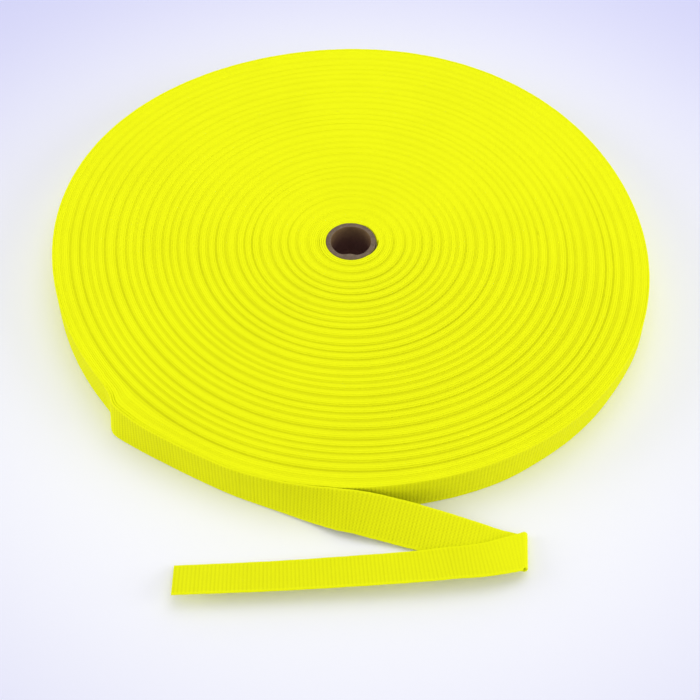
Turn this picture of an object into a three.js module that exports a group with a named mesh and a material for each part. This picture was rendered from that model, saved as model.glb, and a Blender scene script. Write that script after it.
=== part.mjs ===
// A roll of flat woven webbing on a cardboard core, lying flat, with its outer end peeled off and folded.
// Units are millimetres, +Z is up. The origin is on the core's axis, at the plane that the roll lies on.
import * as THREE from 'three';

// Driving dimensions.
const WEBBING_WIDTH = 25.4;
const WEBBING_THICKNESS = 1.15;
const ROLL_RADIUS = 188;
const CORE_OUTER_RADIUS = 15.9;
const CORE_WALL = 3.2;
const TAPE_THICKNESS = 0.3;
const TAPE_HEIGHT = 19;
const GAP = 0.3; // left between pieces that touch
const FOLD_RADIUS = 1.75; // of the webbing's middle surface, where the tail is folded back

// The wound turns aren't quite round: each row is [waves per turn, cosine part, sine part] of the radius.
const OUT_OF_ROUND = [[2, 0.002, -0.0144], [3, -0.005, 0.0025], [4, -0.003, -0.0058]];

// The route of the webbing's front edge, on its upper face, as it comes off the roll. Each row is
// [x, y, z, lean, skew]: lean is 90 degrees where the webbing stands on edge and 0 where it lies flat,
// and skew turns the cross-section towards the crease.
const TAIL_ROUTE = [
  [-150.5, -108.5, 0.3, 91, 0],
  [-144.3, -116.8, 0.3, 91, 0],
  [-143.2, -122.5, 0.3, 86, 0],
  [-142.3, -129.3, 0.4, 83, 0],
  [-139.6, -134.3, 0.5, 82, 0],
  [-131, -140.5, 0.3, 85, 0],
  [-120, -147.5, 0.3, 88, 0],
  [-106.5, -155.5, 0.3, 89, 0],
  [-90, -165, 0.3, 89, 0],
  [-67.5, -176.8, 0.4, 88, 0],
  [-42, -187.6, 0.8, 82, 0],
  [-22, -196.5, 2, 70, 0],
  [-9, -202.5, 4.4, 59, 0],
  [1, -205.6, 5.4, 50, 0],
  [12, -208.2, 4.2, 41, 0],
  [31, -212.8, 2.4, 29, 0],
  [53, -218.5, 1.6, 15, 0],
  [76, -224.8, 2.8, 1, -3],
  [94.8, -228.8, 4.6, -7, -8.5],
];
const PEEL_START = 1.4 / 18; // where the loosened lap leaves the wound turns, as a share of TAIL_ROUTE
const HINGE_SHARE = 9.2 / 18; // where the lap ends and the free tail begins

// The route of the free end after the fold: the back edge on the upper face, with the same columns.
const END_ROUTE = [
  [93, -205, 4.8, 9, 14],
  [72, -211.4, 5.2, 14.5, 6],
  [53, -213.9, 5.2, 16.5, 0],
  [35, -216, 4.6, 18, 0],
  [-2, -218.7, 3.6, 19.2, 0],
  [-45, -221.4, 2.6, 20.5, 0],
  [-98.1, -223.8, 1.9, 21.8, 0],
];
const FOLD_FRONT = [95, -229, 5.9]; // the two ends of the fold's axis
const FOLD_BACK = [96.9, -203.9, 2.6];

const fabric = new THREE.MeshStandardMaterial({ color: 0xe6f21c, roughness: 0.85, metalness: 0 });
const cardboard = new THREE.MeshStandardMaterial({ color: 0x8c7a52, roughness: 0.9, metalness: 0 });
const paperTape = new THREE.MeshStandardMaterial({ color: 0xd9c9a0, roughness: 0.7, metalness: 0 });

const radians = THREE.MathUtils.degToRad;
const roll = new THREE.Group();

function addNode(name, geometry, material) {
  const mesh = new THREE.Mesh(geometry, material);
  mesh.name = name;
  roll.add(mesh);
  return mesh;
}

function rollRadiusAt(angle) {
  const waves = OUT_OF_ROUND.map(([k, c, s]) => c * Math.cos(k * angle) + s * Math.sin(k * angle));
  return ROLL_RADIUS * (1 + waves.reduce((sum, wave) => sum + wave, 0));
}

function circlePath(radius, steps, PathClass = THREE.Path) {
  const path = new PathClass();
  path.absarc(0, 0, radius, 0, 2 * Math.PI, false);
  return new PathClass(path.getPoints(steps));
}

function coreTube() {
  const inner = CORE_OUTER_RADIUS - CORE_WALL;
  const profile = [[inner, 0], [CORE_OUTER_RADIUS, 0], [CORE_OUTER_RADIUS, WEBBING_WIDTH],
    [inner, WEBBING_WIDTH], [inner, 0]].map(([r, z]) => new THREE.Vector2(r, z));
  return new THREE.LatheGeometry(profile, 64).rotateX(Math.PI / 2);
}

// The turns as one solid ring: the outline is the out-of-round roll and the hole clears core and tape.
function woundTurns() {
  const steps = 160;
  const outline = Array.from({ length: steps }, (_, i) => {
    const angle = (2 * Math.PI * i) / steps;
    const radius = rollRadiusAt(angle);
    return new THREE.Vector2(radius * Math.cos(angle), radius * Math.sin(angle));
  });
  const shape = new THREE.Shape(outline);
  shape.holes.push(circlePath(CORE_OUTER_RADIUS + TAPE_THICKNESS + 2 * GAP, 64));
  return new THREE.ExtrudeGeometry(shape, { depth: WEBBING_WIDTH, bevelEnabled: false });
}

// The strip of tape that holds the webbing's inner end against the core.
function starterTape() {
  const inner = CORE_OUTER_RADIUS + GAP;
  const shape = new THREE.Shape();
  shape.absarc(0, 0, inner + TAPE_THICKNESS, radians(-40), radians(55), false);
  shape.absarc(0, 0, inner, radians(55), radians(-40), true);
  const depth = TAPE_HEIGHT;
  const tape = new THREE.ExtrudeGeometry(shape, { depth, curveSegments: 24, bevelEnabled: false });
  return tape.translate(0, 0, (WEBBING_WIDTH - TAPE_HEIGHT) / 2);
}

// A cross-section of the strip: four corners, from the reference edge across its width.
function crossSection(edge, travel, lean, skew) {
  const side = new THREE.Vector3(-travel.y, travel.x, 0).normalize();
  const up = new THREE.Vector3().crossVectors(travel, side);
  const across = side.clone().multiplyScalar(Math.cos(lean)).addScaledVector(up, Math.sin(lean));
  const face = up.clone().multiplyScalar(Math.cos(lean)).addScaledVector(side, -Math.sin(lean));
  const far = edge.clone().addScaledVector(across, WEBBING_WIDTH);
  far.addScaledVector(travel, WEBBING_WIDTH * Math.tan(skew));
  const below = (point) => point.clone().addScaledVector(face, -WEBBING_THICKNESS);
  return [edge, far, below(far), below(edge)];
}

// Cross-sections along a route, from one share of it to another.
function sectionsAlong(route, from, to, count) {
  const spline = (points) => new THREE.CatmullRomCurve3(points, false, 'catmullrom');
  const edge = spline(route.map(([x, y, z]) => new THREE.Vector3(x, y, z)));
  const turn = spline(route.map(([, , , lean, skew]) => new THREE.Vector3(lean, skew, 0)));
  return Array.from({ length: count + 1 }, (_, i) => {
    const t = from + ((to - from) * i) / count;
    const angles = turn.getPoint(t);
    return crossSection(edge.getPoint(t), edge.getTangent(t), radians(angles.x), radians(angles.y));
  });
}

// Cross-sections round the fold, between two angles about its axis. Below the axis is -90 degrees.
function foldSections(fromAngle, toAngle, count) {
  const front = new THREE.Vector3(...FOLD_FRONT);
  const back = new THREE.Vector3(...FOLD_BACK);
  const crease = back.clone().sub(front).normalize();
  const out = new THREE.Vector3(crease.y, -crease.x, 0).normalize();
  const up = new THREE.Vector3().crossVectors(out, crease);
  return Array.from({ length: count + 1 }, (_, i) => {
    const angle = radians(fromAngle + ((toAngle - fromAngle) * i) / count);
    const ray = out.clone().multiplyScalar(Math.cos(angle)).addScaledVector(up, Math.sin(angle));
    const outer = FOLD_RADIUS + WEBBING_THICKNESS / 2;
    const inner = FOLD_RADIUS - WEBBING_THICKNESS / 2;
    const at = (end, radius) => end.clone().addScaledVector(ray, radius);
    return [at(front, inner), at(back, inner), at(back, outer), at(front, outer)];
  });
}

// A closed strip through cross-sections of four corners each.
function strip(sections) {
  const positions = sections.flat().flatMap((corner) => [corner.x, corner.y, corner.z]);
  const faces = [[0, 1, 2], [0, 2, 3]];
  for (let i = 0; i < sections.length - 1; i += 1) {
    for (let j = 0; j < 4; j += 1) {
      const a = 4 * i + j;
      const b = 4 * i + ((j + 1) % 4);
      faces.push([a, a + 4, b + 4], [a, b + 4, b]);
    }
  }
  const last = positions.length / 3 - 4;
  faces.push([last, last + 2, last + 1], [last, last + 3, last + 2]);
  const geometry = new THREE.BufferGeometry();
  geometry.setAttribute('position', new THREE.Float32BufferAttribute(positions, 3));
  geometry.setIndex(faces.flat());
  geometry.computeVertexNormals();
  return geometry;
}

addNode('core_tube', coreTube(), cardboard);
addNode('starter_tape', starterTape(), paperTape);
addNode('wound_webbing', woundTurns(), fabric);
addNode('loosened_lap', strip(sectionsAlong(TAIL_ROUTE, PEEL_START, HINGE_SHARE, 40)), fabric);
const runStart = HINGE_SHARE + 0.0012; // leaves the gap to the lap
const lowerFold = foldSections(-80, -5, 6);
const upperFold = foldSections(5, 90, 6).map(([a, b, c, d]) => [c, d, a, b]);
addNode('tail_run', strip([...sectionsAlong(TAIL_ROUTE, runStart, 1, 48), ...lowerFold]), fabric);
addNode('tail_end', strip([...upperFold, ...sectionsAlong(END_ROUTE, 0, 1, 36)]), fabric);

export default roll;
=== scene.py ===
import math

import bpy
import numpy as np
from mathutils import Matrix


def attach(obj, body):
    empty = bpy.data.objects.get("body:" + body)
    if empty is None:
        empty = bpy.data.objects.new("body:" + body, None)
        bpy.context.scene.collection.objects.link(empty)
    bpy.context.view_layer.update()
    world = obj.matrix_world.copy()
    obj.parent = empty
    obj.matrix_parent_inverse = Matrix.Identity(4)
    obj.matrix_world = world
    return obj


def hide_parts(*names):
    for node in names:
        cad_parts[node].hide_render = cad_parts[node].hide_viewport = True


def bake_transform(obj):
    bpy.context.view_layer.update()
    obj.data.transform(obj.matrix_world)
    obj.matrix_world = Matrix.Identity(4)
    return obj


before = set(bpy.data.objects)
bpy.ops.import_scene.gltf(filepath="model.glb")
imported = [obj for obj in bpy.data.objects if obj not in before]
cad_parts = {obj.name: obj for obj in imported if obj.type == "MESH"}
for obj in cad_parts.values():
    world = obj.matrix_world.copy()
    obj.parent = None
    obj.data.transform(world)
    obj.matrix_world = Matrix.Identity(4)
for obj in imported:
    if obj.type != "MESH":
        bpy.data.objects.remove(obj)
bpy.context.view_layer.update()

MM = 0.001

# Driving dimensions, as in the CAD.
WIDTH = 25.4 * MM  # of the webbing
THICK = 1.15 * MM
ROLL_R = 188 * MM
CORE_R = 15.9 * MM
CORE_WALL = 3.2 * MM
FOLD_R = 1.75 * MM  # of the webbing's middle surface, round the fold

# The weave.
RIB = 2.2 * MM  # pitch of the cross ribs
RIB_HEIGHT = 0.12 * MM
YARNS = 26  # warp yarns across the strip
YARN_HEIGHT = 0.03 * MM
CHEQUER = 0.034 * MM  # how far the yarns rise and dip over alternate ribs
WEAVE_MIDDLE = 0.15 * MM  # height of the weave that lies at the strip's flat face
SELVEDGE = 0.3 * MM  # how far in from its edges the strip is rounded

# The winding.
TURNS = 142.6
LAP_ANGLE = math.radians(219.2)  # where the outermost turn ends
FIRST_R = 16.55 * MM  # middle surface of the first turn, on the core
LAST_R = ROLL_R + 0.03 * MM
PITCH = (LAST_R - FIRST_R) / TURNS
TAPE_BUMP = 0.56 * MM  # how far the first turns are lifted by the starter tape
RIDGE = 0.75 * MM  # height of the broad ridges in the roll's upper face
FAN_TURNS = 8  # how many of the last turns have sprung out behind the lap

# The roll's out-of-round outline: waves per turn, cosine part and sine part of the radius.
OUT_OF_ROUND = [(2, 0.002, -0.0144), (3, -0.005, 0.0025), (4, -0.003, -0.0058)]

# The route of the tail, as in the CAD: x, y and z of the front edge on the upper face, then the
# lean and the skew of the cross-section in degrees.
TAIL_ROUTE = [
    (-0.1505, -0.1085, 0.0003, 91, 0),
    (-0.1443, -0.1168, 0.0003, 91, 0),
    (-0.1432, -0.1225, 0.0003, 86, 0),
    (-0.1423, -0.1293, 0.0004, 83, 0),
    (-0.1396, -0.1343, 0.0005, 82, 0),
    (-0.131, -0.1405, 0.0003, 85, 0),
    (-0.12, -0.1475, 0.0003, 88, 0),
    (-0.1065, -0.1555, 0.0003, 89, 0),
    (-0.09, -0.165, 0.0003, 89, 0),
    (-0.0675, -0.1768, 0.0004, 88, 0),
    (-0.042, -0.1876, 0.0008, 82, 0),
    (-0.022, -0.1965, 0.002, 70, 0),
    (-0.009, -0.2025, 0.0044, 59, 0),
    (0.001, -0.2056, 0.0054, 50, 0),
    (0.012, -0.2082, 0.0042, 41, 0),
    (0.031, -0.2128, 0.0024, 29, 0),
    (0.053, -0.2185, 0.0016, 15, 0),
    (0.076, -0.2248, 0.0028, 1, -3),
    (0.0948, -0.2288, 0.0046, -7, -8.5),
]
PEEL_SHARE = 1.4 / 18  # where the lap comes off the roll, as a share of the route
HINGE_SHARE = 9.2 / 18  # where the lap ends and the free tail begins
LAP_SHARE = 0.66  # how far along the route the strip still stands beside the roll

# The route of the free end after the fold: the back edge on the upper face, with the same columns.
END_ROUTE = [
    (0.093, -0.205, 0.0048, 9, 14),
    (0.072, -0.2114, 0.0052, 14.5, 6),
    (0.053, -0.2139, 0.0052, 16.5, 0),
    (0.035, -0.216, 0.0046, 18, 0),
    (-0.002, -0.2187, 0.0036, 19.2, 0),
    (-0.045, -0.2214, 0.0026, 20.5, 0),
    (-0.0981, -0.2238, 0.0019, 21.8, 0),
]
FOLD_FRONT = np.array((0.095, -0.229, 0.0059))  # the two ends of the fold's axis
FOLD_BACK = np.array((0.0969, -0.2039, 0.0026))
UP = np.array((0.0, 0.0, 1.0))


def unit(v):
    return v / np.linalg.norm(v, axis=-1, keepdims=True)


def smooth(low, high, x):
    t = np.clip((np.asarray(x, float) - low) / (high - low), 0, 1)
    return t * t * (3 - 2 * t)


def bell(x, middle, width):
    return np.exp(-(((x - middle) / width) ** 2))


def wobble(x, waves):
    """A smooth, repeatable irregularity from a few sines: each is (frequency, phase, size)."""
    return sum(size * np.sin(frequency * x + phase) for frequency, phase, size in waves)


# ---------------------------------------------------------------- camera
camera_data = bpy.data.cameras.new("camera")
camera_data.lens = 78.96
camera_data.sensor_width = 36
camera_data.clip_start = 0.01
camera = bpy.data.objects.new("camera", camera_data)
camera.location = (-0.00055, -0.66832, 0.73686)
camera.rotation_euler = (math.radians(39.147), 0, 0)
bpy.context.scene.collection.objects.link(camera)
bpy.context.scene.camera = camera


# ---------------------------------------------------------------- materials
def node_material(name, roughness, specular):
    material = bpy.data.materials.new(name)
    material.use_nodes = True
    shader = material.node_tree.nodes["Principled BSDF"]
    shader.inputs["Roughness"].default_value = roughness
    shader.inputs["Specular IOR Level"].default_value = specular
    return material, material.node_tree, shader


def add(tree, kind, inputs, **settings):
    """A new node with its settings; each of its inputs is linked to a socket, or given a value."""
    node = tree.nodes.new(kind)
    for key, value in settings.items():
        setattr(node, key, value)
    for key, value in inputs.items():
        if isinstance(value, bpy.types.NodeSocket):
            tree.links.new(value, node.inputs[key])
        else:
            node.inputs[key].default_value = value
    return node


def maths(tree, operation, a, b=0.0, c=0.0):
    return add(tree, "ShaderNodeMath", {0: a, 1: b, 2: c}, operation=operation).outputs[0]


def clamped(tree, value):
    return maths(tree, "MINIMUM", maths(tree, "MAXIMUM", value, 0.0), 1.0)


def field(tree, name):
    return add(tree, "ShaderNodeAttribute", {}, attribute_name=name).outputs["Fac"]


def object_place(tree):
    return add(tree, "ShaderNodeTexCoord", {}).outputs["Object"]


def scaled(tree, vector, scale):
    return add(tree, "ShaderNodeMapping", {"Vector": vector, "Scale": scale}).outputs[0]


def colour_mix(tree, factor, a, b):
    """Colour a where the factor is 0, and colour b where it is 1."""
    return add(tree, "ShaderNodeMix", {0: factor, 6: a, 7: b}, data_type="RGBA").outputs[2]


def noise(tree, vector, scale, detail):
    inputs = {"Vector": vector, "Scale": scale, "Detail": detail, "Roughness": 0.55}
    return add(tree, "ShaderNodeTexNoise", inputs).outputs["Fac"]


def finish_shader(tree, shader, colour, height, strength, distance):
    """Give a shader its colour, and a bump from a height."""
    inputs = {"Height": height, "Strength": strength, "Distance": distance}
    bump = add(tree, "ShaderNodeBump", inputs)
    tree.links.new(colour, shader.inputs["Base Color"])
    tree.links.new(bump.outputs[0], shader.inputs["Normal"])


def webbing_material(name, mottling, bump_strength):
    """Woven yarn: colour darkened in the hollows as painted shade, and fine twisted fibres as
    bump.
    """
    # The second colour is the painted shade of the hollows, and also the dark of the fibre
    # mottling.
    bright, shade_and_fibre_dark = (0.90, 0.94, 0.006, 1), (0.66, 0.67, 0.004, 1)
    material, tree, shader = node_material(name, roughness=0.82, specular=0.06)
    along, across, low = (field(tree, key) for key in ("along", "across", "low"))
    strip = add(tree, "ShaderNodeCombineXYZ", {"X": along, "Y": across, "Z": low}).outputs[0]
    fibres = noise(tree, scaled(tree, strip, (900, 3600, 1)), 1.0, 2.0)
    patches = noise(tree, object_place(tree), 22.0, 3.0)
    # Painted shade: the 'low' field darkens the colour towards the hollows, varied by random
    # patches.
    hollow = maths(tree, "SUBTRACT", maths(tree, "MULTIPLY_ADD", patches, 0.3, low), 0.15)
    colour = colour_mix(tree, clamped(tree, hollow), bright, shade_and_fibre_dark)
    colour = colour_mix(tree, maths(tree, "MULTIPLY", fibres, mottling), colour, shade_and_fibre_dark)
    finish_shader(tree, shader, colour, fibres, bump_strength, 0.12 * MM)
    return material


def paper_material(name, pale, dark, ply_strength):
    """Paper board: fibres, blotches, the edges of its plies, and the lining of a tube's bore,
    painted darker lower down as shade.
    """
    olive, bore_shade_red_brown = (0.27, 0.18, 0.065, 1), (0.17, 0.075, 0.06, 1)
    deep_brown = (0.10, 0.045, 0.035, 1)
    ply = 0.55 * MM
    material, tree, shader = node_material(name, roughness=0.9, specular=0.2)
    place = object_place(tree)
    blotches = noise(tree, place, 260.0, 4.0)
    fibres = noise(tree, scaled(tree, place, (700, 700, 2600)), 1.0, 3.0)
    factor = maths(tree, "MULTIPLY_ADD", blotches, 0.6, maths(tree, "MULTIPLY", fibres, 0.5))
    if ply_strength:
        flat = scaled(tree, place, (1, 1, 0))
        radius = add(tree, "ShaderNodeVectorMath", {0: flat}, operation="LENGTH").outputs["Value"]
        edges = maths(tree, "SINE", maths(tree, "MULTIPLY", radius, 2 * math.pi / ply))
        factor = maths(tree, "MULTIPLY_ADD", edges, ply_strength, factor)
    factor = clamped(tree, factor)
    height = add(tree, "ShaderNodeSeparateXYZ", {0: place}).outputs["Z"]
    # Painted shade lower down the bore: the lining's brown turns darker and redder below the rim.
    upper_part = {"Value": height, "From Min": 11 * MM, "From Max": 24 * MM}
    upper = add(tree, "ShaderNodeMapRange", upper_part).outputs["Result"]
    lining = colour_mix(tree, upper, bore_shade_red_brown, olive)
    lining = colour_mix(tree, maths(tree, "MULTIPLY", factor, 0.6), lining, deep_brown)
    board = colour_mix(tree, factor, pale, dark)
    colour = colour_mix(tree, field(tree, "inside"), board, lining)
    finish_shader(tree, shader, colour, factor, 0.5, 0.3 * MM)
    return material


woven_face = webbing_material("webbing_weave", mottling=0.16, bump_strength=0.35)
wound_edge = webbing_material("webbing_edge", mottling=0.08, bump_strength=0.08)
cardboard = paper_material(
    "core_board", (0.29, 0.21, 0.145, 1), (0.10, 0.073, 0.047, 1), ply_strength=0.26)
paper_tape = paper_material(
    "starter_tape_paper", (0.72, 0.62, 0.42, 1), (0.55, 0.45, 0.28, 1), ply_strength=0)


# ---------------------------------------------------------------- mesh helpers
def make_object(name, points, faces, material, slot, fields):
    """A mesh object from points and faces, with named per-point values for its material."""
    mesh = bpy.data.meshes.new(name)
    mesh.from_pydata(points.tolist(), [], [list(map(int, face)) for face in faces])
    mesh.validate()
    for key, values in fields.items():
        attribute = mesh.attributes.new(key, "FLOAT", "POINT")
        attribute.data.foreach_set("value", np.asarray(values, np.float32))
    mesh.polygons.foreach_set("use_smooth", np.ones(len(mesh.polygons), bool))
    mesh.materials.append(material)
    obj = bpy.data.objects.new(name, mesh)
    bpy.context.scene.collection.objects.link(obj)
    return obj


def loft(rings):
    """Points and faces of a closed skin over rings of equal length, capped at both ends."""
    count, size = rings.shape[:2]
    base = np.arange(count - 1)[:, None] * size
    j = np.arange(size)[None, :]
    k = (j + 1) % size
    quads = np.stack([base + j, base + size + j, base + size + k, base + k], -1)
    faces = quads.reshape(-1, 4).tolist()
    last = (count - 1) * size
    # Each cap is a row of faces between the first half of its ring and the second half.
    for i in range(size // 2):
        a, b, c, d = i, i + 1, (size - i - 1) % size, (size - i) % size
        first = [a, b, c, d] if i else [a, b, c]
        if b == c:
            first = [a, b, d]
        faces.append(first)
        faces.append([last + v for v in reversed(first)])
    return rings.reshape(-1, 3), faces


def catmull_rom(points, t):
    """Position on a uniform Catmull-Rom spline, at shares t of its knots."""
    p = np.vstack([2 * points[0] - points[1], points, 2 * points[-1] - points[-2]])
    x = t * (len(p) - 3)
    i = np.clip(np.floor(x).astype(int), 0, len(p) - 4)
    w = (x - i)[:, None]
    a, b, c, d = p[i], p[i + 1], p[i + 2], p[i + 3]
    square = 2 * a - 5 * b + 4 * c - d
    cube = 3 * b - a - 3 * c + d
    return 0.5 * (2 * b + (c - a) * w + square * w**2 + cube * w**3)


# A station of the strip is (reference edge, direction across, face normal), on its upper face.
def route_stations(route, start, stop):
    """Stations along a route, between two shares of it."""
    t = np.linspace(start, stop, 900)
    rows = np.asarray(route, float)
    step = 1e-4
    ahead = catmull_rom(rows[:, :3], np.minimum(t + step, 1))
    travel = unit(ahead - catmull_rom(rows[:, :3], np.maximum(t - step, 0)))
    angles = np.radians(catmull_rom(rows[:, 3:], t))
    lean, skew = angles[:, :1], angles[:, 1:]
    side = unit(np.stack([-travel[:, 1], travel[:, 0], 0 * t], 1))
    up = np.cross(travel, side)
    across = np.cos(lean) * side + np.sin(lean) * up + np.tan(skew) * travel
    normal = np.cos(lean) * up - np.sin(lean) * side
    return catmull_rom(rows[:, :3], t), across, normal


def fold_stations(start, stop):
    """Stations round the fold, the way tail_run goes, between two angles about its axis."""
    count = 40
    crease = unit(FOLD_BACK - FOLD_FRONT)
    out = unit(np.array((crease[1], -crease[0], 0)))
    up = np.cross(out, crease)
    angle = np.radians(np.linspace(start, stop, count))[:, None]
    ray = np.cos(angle) * out + np.sin(angle) * up
    edge = FOLD_FRONT + (FOLD_R - THICK / 2) * ray
    across = np.repeat((FOLD_BACK - FOLD_FRONT)[None] / WIDTH, count, 0)
    return edge, across, -ray


def flipped(stations):
    """The same strip, with its reference edge and its upper face swapped for the other ones."""
    edge, across, normal = stations
    return edge + across * WIDTH - normal * THICK, -across, -normal


def joined(*parts):
    return tuple(np.concatenate([part[i] for part in parts]) for i in range(3))


def selected(stations, which):
    return tuple(values[which] for values in stations)


def resampled(stations, step):
    """Stations spaced evenly along the strip's middle, with the distance along it."""
    edge, across, normal = stations
    middle = edge + across * WIDTH / 2 - normal * THICK / 2
    steps = np.linalg.norm(np.diff(middle, axis=0), axis=1)
    length = np.concatenate([[0], np.cumsum(steps)])
    count = max(2, int(round(length[-1] / step)) + 1)
    s = np.linspace(0, length[-1], count)

    def at(values):
        return np.stack([np.interp(s, length, values[:, i]) for i in range(3)], 1)

    return (at(edge), at(across), unit(at(normal))), s


def strip_length(stations):
    return resampled(stations, 1 * MM)[1][-1]


# ---------------------------------------------------------------- the woven strip
def weave_height(along, v, chequer):
    """Height of the weave: cross ribs, with warp yarns that alternate between them."""
    yarn = v / WIDTH * YARNS
    groove = np.abs(np.sin(math.pi * yarn)) ** 0.5
    rib = np.abs(np.cos(math.pi * along / RIB)) ** 0.8
    shifted = np.cos(2 * math.pi * along / RIB + math.pi * (np.floor(yarn) % 2))
    return RIB_HEIGHT * rib + YARN_HEIGHT * groove + chequer * shifted * groove


def weave_strength(s, fold):
    """How deep the relief and the chequer are along a strip, which may start or end at a fold.

    The relief is flatter near the fold, and flatter all along the free end, which starts there.
    """
    depth = np.full_like(s, 1.9)
    chequer = np.full_like(s, CHEQUER)
    if fold:
        from_fold = s if fold == "start" else s[-1] - s
        depth *= 0.42 + 0.58 * smooth(0, 45 * MM, from_fold)
    if fold == "start":
        depth *= 0.82
        chequer -= 0.024 * MM * smooth(0, 30 * MM, s)
    return depth[:, None], chequer[:, None]


def round_strip(upper, lower):
    """Values round a cross-section: across the upper face, then back across the lower one."""
    return np.concatenate([upper, lower[..., -2:0:-1]], -1)


def woven_strip(name, stations, start, step, columns, plain_below=False, fold=None):
    """A strip of webbing with a woven surface, rounded edges and closed ends.

    Gives the object, its middle line, and the distance along the webbing at its far end.
    """
    (edge, across, normal), s = resampled(stations, step)
    along = s + start
    depth, chequer = weave_strength(s, fold)

    # Positions across the strip, closer together where its edges are rounded.
    margin = np.array([0, 0.04 * MM, 0.13 * MM, SELVEDGE])
    inner = np.linspace(1.3 * MM, WIDTH - 1.3 * MM, columns)
    v = np.concatenate([margin, inner, WIDTH - margin[::-1]])
    from_edge = np.minimum(v, WIDTH - v)
    rounding = 1 - np.minimum(from_edge / SELVEDGE, 1)
    half = THICK / 2 * np.sqrt(np.clip(1 - rounding**2, 0, 1))

    # The ribs of the two faces are half a rib apart, and fade towards the edges.
    scale = smooth(0.1 * MM, 0.9 * MM, from_edge) * depth
    height = weave_height(along[:, None], v, chequer)
    height_below = weave_height(along[:, None] + RIB / 2, v, chequer)
    relief = (height - WEAVE_MIDDLE) * scale
    relief_below = (height_below - WEAVE_MIDDLE) * scale * (0 if plain_below else 1)

    # The edges waver a little, and most often where the weft turns back.
    weft_turns = (2 * math.pi / (1.17 * MM), 0, 0.03 * MM)
    waver = wobble(along, [weft_turns, (900, 1, 0.04 * MM), (310, 2, 0.05 * MM)])
    outwards = np.where(v < WIDTH / 2, -1, 1) * (1 - smooth(0, 1.2 * MM, from_edge))
    across_at = v + outwards * waver[:, None]

    middle = edge - normal * THICK / 2
    base = middle[:, None] + across[:, None] * across_at[..., None]
    upper = base + normal[:, None] * (half + relief)[..., None]
    lower = base - normal[:, None] * (half + relief_below)[..., None]
    rings = np.concatenate([upper, lower[:, -2:0:-1]], 1)

    ring_v = round_strip(v, v)
    # The 'low' field is painted shade: how far down in the weave's hollows a point lies, weaker
    # near the rounded edges.
    hollow = np.clip(1 - round_strip(height, height) / (0.2 * MM), 0, 1)
    ring_from_edge = np.minimum(ring_v, WIDTH - ring_v)
    away_from_edge = 0.15 + 0.85 * smooth(0.5 * MM, 2 * MM, ring_from_edge)
    fields = {
        "along": np.repeat(along, len(ring_v)),
        "across": np.tile(ring_v, len(s)),
        "low": (hollow * 0.5 * depth * away_from_edge).ravel(),
    }
    obj = make_object(name, *loft(rings), woven_face, "webbing", fields)
    return obj, middle + across * WIDTH / 2, along[-1]


# ---------------------------------------------------------------- the loose tail, as two cords
FINE_MESH = {"step": 0.42 * MM, "columns": 78}
PLAIN_MESH = {"step": 0.55 * MM, "columns": 20}

lap_length = strip_length(route_stations(TAIL_ROUTE, PEEL_SHARE, HINGE_SHARE))
hinge_to_fold = joined(route_stations(TAIL_ROUTE, HINGE_SHARE, 1), fold_stations(-80, 0))
fold_to_cut = joined(flipped(fold_stations(0, 90)), route_stations(END_ROUTE, 0, 1))
tail_run, tail_line, tail_end_at = woven_strip(
    "tail_run_webbing", hinge_to_fold, lap_length, fold="end", **FINE_MESH)
tail_end, end_line, _ = woven_strip(
    "tail_end_webbing", fold_to_cut, tail_end_at, fold="start", **FINE_MESH)
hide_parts("tail_run")
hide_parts("tail_end")

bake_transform(tail_run)
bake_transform(tail_end)


# ---------------------------------------------------------------- the wound turns
# A place on the winding is its number of turns from the inner end, u, and its angle.
def winding_angle(u):
    return LAP_ANGLE + 2 * math.pi * (u - TURNS)


def rays(angle):
    return np.stack([np.cos(angle), np.sin(angle), 0 * angle], 1)


def outline(angle):
    """How far out of round the roll is, as a share of its radius."""
    return sum(c * np.cos(k * angle) + s * np.sin(k * angle) for k, c, s in OUT_OF_ROUND)


def tight_radius(u, angle):
    """Radius of the strip's middle surface where it lies tight."""
    whole = np.floor(u)
    share = u - whole
    # The first turns are circles that step out once a turn, over the strip's inner end.
    circular = np.clip(1 - u / 4, 0, 1)
    stepped = whole + share * (1 - circular) + smooth(0.86, 1, share) * circular
    degrees = (np.degrees(angle) + 180) % 360 - 180
    over_tape = smooth(-50, -41, degrees) * (1 - smooth(56, 65, degrees))
    over_tape = over_tape * np.clip(1 - u / 6, 0, 1)
    radius = FIRST_R + PITCH * stepped + TAPE_BUMP * over_tape
    return radius * (1 + outline(angle) * smooth(0.35, 0.95, radius / ROLL_R))


def room_beside_lap():
    """Angles along the top of the lap, and the room that it leaves beside the tight turns."""
    edge, across, normal = route_stations(TAIL_ROUTE, 0, LAP_SHARE)
    top = edge + across * WIDTH - normal * THICK
    angle = np.arctan2(top[:, 1], top[:, 0]) % (2 * math.pi)
    turn_beneath = TURNS - 1 + (angle - LAP_ANGLE) / (2 * math.pi)
    clearance = THICK / 2 + 0.05 * MM
    room = np.hypot(top[:, 0], top[:, 1]) - clearance - tight_radius(turn_beneath, angle)
    return angle, np.maximum(room, 0)


ROOM_ANGLE, ROOM = room_beside_lap()


def room_behind(angle):
    """The room that the last turns fan over behind the lap, fading out at both its ends."""
    place = angle % (2 * math.pi)
    degrees = np.degrees(place)
    fade = smooth(216, 216.8, degrees) * (1 - smooth(266, 284, degrees))
    return np.interp(place, ROOM_ANGLE, ROOM) * fade


def turn_radius(u, angle):
    """Radius of the strip's middle surface, with the last turns sprung out behind the lap."""
    left = TURNS - u
    fanned = np.clip(1 - (left - 1) / FAN_TURNS, 0, 1) * (left > 0.5)
    return tight_radius(u, angle) + room_behind(angle) * fanned


def tuck(u, angle):
    """How far the lower edge of the outer turns is tucked in, at the front right."""
    degrees = np.degrees(angle) % 360
    size = 1.4 * smooth(265, 283, degrees) + 1.2 * smooth(296, 308, degrees)
    return size * (1 - smooth(325, 343, degrees)) * MM * np.clip(1 - (TURNS - u) / 60, 0, 1)


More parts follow.
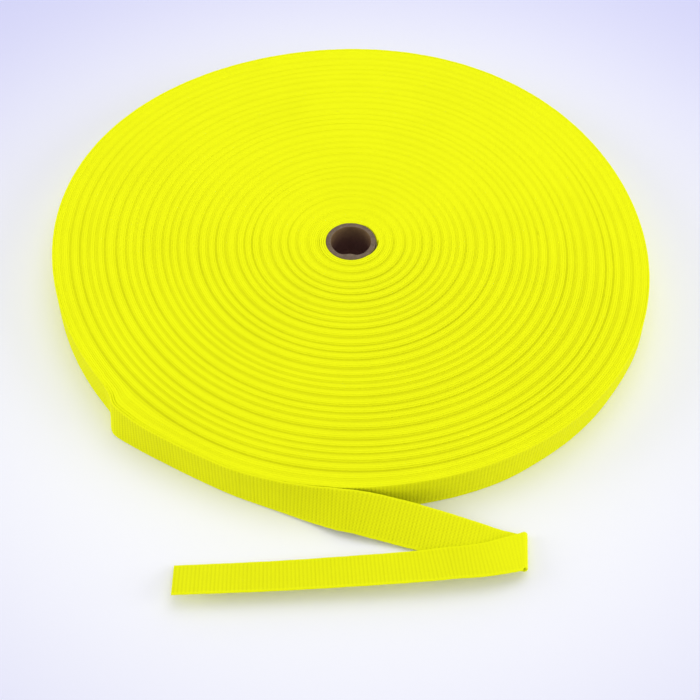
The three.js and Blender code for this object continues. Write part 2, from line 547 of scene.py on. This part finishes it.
def lift(u):
    """How far each turn stands up beside its neighbours: broad ridges of a few turns each."""
    phase = u / 4.77 + wobble(u, [(0.31, 0, 0.12), (0.137, 1, 0.1)])
    hump = np.abs(np.sin(math.pi * phase)) ** 0.75
    strength = 1 - 0.75 * smooth(TURNS - 7, TURNS - 3, u) - 0.35 * (1 - smooth(2, 16, u))
    return 1 - (1 - hump) * strength


def spiral(first, last):
    """Numbers of turns along the winding, closer together beside the lap."""
    marks = [first]
    while marks[-1] < last - 1e-9:
        around = 2 * math.pi * (FIRST_R + PITCH * marks[-1])
        per_turn = min(168, max(48, around / (5.6 * MM)))
        marks.append(min(last, marks[-1] + 1 / per_turn))
    for inward in range(1, FAN_TURNS + 2):
        beside_lap = TURNS - inward + np.arange(-4, 14, 0.4) / 360
        marks += [u for u in beside_lap if first < u < last]
    return np.unique(np.round(marks, 6))


def wound_piece(name, first, last):
    """The wound strip between two numbers of turns, with the ridges of the roll's faces."""
    u = spiral(first, last)
    angle = winding_angle(u)
    radius = turn_radius(u, angle)
    ray = rays(angle)
    sunk = (1 - lift(u)) * np.maximum(0.6 - 0.5 * np.sin(angle), 0.3)  # deepest at the front
    waves = [(0.11, 0, 0.02), (0.023, 1, 0.03), (0.37, 2, 0.012)]
    jitter = wobble(angle * radius / MM, waves) * MM
    top = WIDTH - RIDGE * sunk + jitter
    bottom = 0.05 * MM + RIDGE * (1 - sunk) * 0.9 + np.abs(jitter)
    in_fan = u > TURNS - 1 - FAN_TURNS
    half = PITCH / 2 - 0.005 * MM + room_behind(angle) / FAN_TURNS / 2 * in_fan
    tucked = tuck(u, angle)
    # The selvedges are rounder where the turns are loose: near the core and near the outside.
    loose = 0.12 * smooth(TURNS - 12, TURNS - 4, u) + 0.14 * (1 - smooth(6, 16, u))
    soft = (0.04 + loose) * MM
    corners = [(half, 0, soft), (half * 0.6, 0, 0), (-half * 0.6, 0, 0), (-half, 0, soft),
               (-half, 1, -soft), (-half * 0.6, 1, 0), (half * 0.6, 1, 0), (half, 1, -soft)]
    rings = []
    for offset, at_top, dz in corners:
        z = (top if at_top else bottom) + dz
        r = radius + offset - tucked * (1 - at_top)
        rings.append(ray * r[:, None] + UP * z[:, None])
    along = np.concatenate([[0], np.cumsum(np.diff(angle) * radius[1:])])
    across = np.array([0, 0.1, 0.9, 1, 1, 0.9, 0.1, 0]) * MM
    # The 'low' field paints shade onto the turns sunk between the ridges, most at the front.
    fields = {
        "along": np.repeat(along, len(corners)),
        "across": np.tile(across, len(u)),
        "low": np.repeat(np.clip(sunk, 0, 1) * 0.85, len(corners)),
    }
    obj = make_object(name, *loft(np.stack(rings, 1)), wound_edge, "webbing", fields)
    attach(obj, "roll")
    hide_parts("wound_webbing")


MIDWAY = 86.0  # turns in the first of the two wound pieces
wound_piece("inner_turns", 0.0, MIDWAY)
wound_piece("outer_turns", MIDWAY, TURNS - 1)


# The outermost turn shows its woven face, and runs on into the lap that has come off the roll.
def outermost_turn_and_lap():
    """Stations of the last whole turn, eased onto the lap's route, and of the lap itself."""
    lap = route_stations(TAIL_ROUTE, 0, HINGE_SHARE)
    x, y, _ = lap[0].T
    lap_angle = np.arctan2(y, x) % (2 * math.pi)
    u = np.linspace(TURNS - 1, TURNS, 2400)
    angle = winding_angle(u)
    ray = rays(angle)
    tucked = tuck(u, angle)[:, None]
    on_lap = smooth(lap_angle[0], math.radians(218), angle)
    radius = (turn_radius(u, angle) + THICK / 2) * (1 - on_lap)
    radius = radius + np.interp(angle, lap_angle, np.hypot(x, y)) * on_lap
    edge = ray * (radius[:, None] - tucked) + UP * 0.3 * MM
    turn = (edge, UP + ray * tucked / WIDTH, ray)
    return (selected(turn, angle < math.radians(218.7)),
            selected(lap, lap_angle > math.radians(218.9)))


turn_stations, lap_stations = outermost_turn_and_lap()
turn_stations = joined(turn_stations, selected(lap_stations, slice(1)))
lap_start = lap_length - strip_length(lap_stations)
turn_start = lap_start - strip_length(turn_stations)
outer_turn, _, _ = woven_strip(
    "outer_turn", turn_stations, turn_start, plain_below=True, **PLAIN_MESH)
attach(outer_turn, "roll")
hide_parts("wound_webbing")
peeled_lap, _, _ = woven_strip("peeled_lap", lap_stations, lap_start, **FINE_MESH)
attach(peeled_lap, "roll")
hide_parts("loosened_lap")


# ---------------------------------------------------------------- the core
def core_profile():
    """The outline of the wall, over the rim and down the bore: (share, dz, at_top) for each point.

    The share is 0 outside and 1 in the bore. dz is in millimetres, up from the top end where
    at_top is 1 and up from the bottom end where it is 0.
    """
    plies, steps = 6, 24
    rim = []
    for i in range(steps + 1):
        groove = 0.16 * abs(math.sin(math.pi * plies * i / steps)) ** 0.5
        rim.append((0.04 + 0.92 * i / steps, -0.16 + groove, 1))
    bore = [(1.0, -0.35, 1)] + [(1.0, -2.0 - 1.3 * k, 1) for k in range(17)]
    return [(0.0, 0.25, 0), (0.04, 0.05, 0), *rim, *bore, (1.0, 0.25, 0), (0.96, 0.05, 0)]


def core_piece():
    """A tube of board plies: a ragged rim, dented at the front, and a burr below at the back."""
    around = 160
    angle = np.linspace(0, 2 * math.pi, around, endpoint=False)
    wall = CORE_WALL - 0.1 * MM
    front = bell(angle, math.radians(268), 0.32)
    back = bell(angle, math.radians(90), 0.7)
    waves = [(3, 0.4, 0.10), (7, 1.3, 0.06), (13, 2.2, 0.04), (29, 0.7, 0.03)]
    ragged = wobble(angle, waves) * MM
    profile = core_profile()
    rings = []
    for share, dz, at_top in profile:
        height = WIDTH * at_top + dz * MM
        dent = 1.7 * MM * front * share**2 * at_top * math.exp(-abs(dz + 0.4) / 1.5)
        wave = 0.05 * MM * np.sin(9 * angle + dz * 0.8) * share
        burr = 2.4 * MM * back * bell(height, 0, 1.8 * MM) * (share > 0.9)
        r = CORE_R - wall * share - dent - wave - burr
        z = height + (ragged + 0.45 * MM * front * share) * at_top * math.exp(-abs(dz) / 3)
        rings.append(np.stack([r * np.cos(angle), r * np.sin(angle), z], 1))
    i = np.arange(len(rings))[:, None]
    j = np.arange(around)[None, :]
    next_i, next_j = (i + 1) % len(rings), (j + 1) % around
    corners = [(i, j), (i, next_j), (next_i, next_j), (next_i, j)]
    quads = np.stack([row * around + column for row, column in corners], -1).reshape(-1, 4)
    inside = [float(share == 1) for share, _, _ in profile]
    obj = make_object("core_board_tube", np.concatenate(rings), quads, cardboard, "cardboard",
                      {"inside": np.repeat(inside, around)})
    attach(obj, "roll")
    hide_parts("core_tube")


core_piece()
for material_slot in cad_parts["starter_tape"].material_slots:
    material_slot.material = paper_tape


# ---------------------------------------------------------------- floor and light
def floor_piece():
    """A plain pale floor, with a painted pool of light round the object that fades to pale lilac
    further out.
    """
    reach = 12
    corners = [(-reach, -reach, 0), (reach, -reach, 0), (reach, reach, 0), (-reach, reach, 0)]
    mesh = bpy.data.meshes.new("floor")
    mesh.from_pydata(corners, [], [(0, 1, 2, 3)])
    material, tree, shader = node_material("floor_paper", roughness=1.0, specular=0.0)
    distance = add(tree, "ShaderNodeVectorMath", {0: object_place(tree), 1: (0, -0.06, 0)},
                   operation="DISTANCE").outputs["Value"]
    fade = add(tree, "ShaderNodeMapRange", {"Value": distance, "From Min": 0.16, "From Max": 0.46},
               interpolation_type="SMOOTHSTEP").outputs["Result"]
    # Painted pool of light: near-white round the object, fading to pale lilac further out.
    near, far = (0.94, 0.94, 0.98, 1), (0.64, 0.64, 0.90, 1)
    tree.links.new(colour_mix(tree, fade, near, far), shader.inputs["Base Color"])
    mesh.materials.append(material)
    obj = bpy.data.objects.new("floor", mesh)
    bpy.context.scene.collection.objects.link(obj)


def add_light(name, kind, place, aim, energy):
    """A white light at a place, turned towards its aim."""
    data = bpy.data.lights.new(name, kind)
    data.energy = energy
    obj = bpy.data.objects.new(name, data)
    obj.location = place
    x, y, z = np.array(aim, float) - np.array(place, float)
    obj.rotation_euler = (math.atan2(math.hypot(x, y), -z), 0, math.atan2(-x, y))
    bpy.context.scene.collection.objects.link(obj)
    return data


floor_piece()
overhead = add_light("overhead", "AREA", (0.2, 0.35, 1.5), (0, 0, 0), 5.2)
overhead.shape = "DISK"
overhead.size = 1.4
right = add_light("right", "SUN", (1.45, -0.4, 0.42), (0, -0.05, 0), 1.08)
left = add_light("left", "SUN", (-1.6, 0, 0.4), (0, -0.05, 0), 1.1)
right.angle = left.angle = math.radians(40)

world = bpy.data.worlds.new("studio")
world.use_nodes = True
background = world.node_tree.nodes["Background"]
background.inputs["Color"].default_value = (0.97, 0.98, 1, 1)
background.inputs["Strength"].default_value = 0.7
bpy.context.scene.world = world
bpy.context.scene.view_settings.view_transform = "Standard"
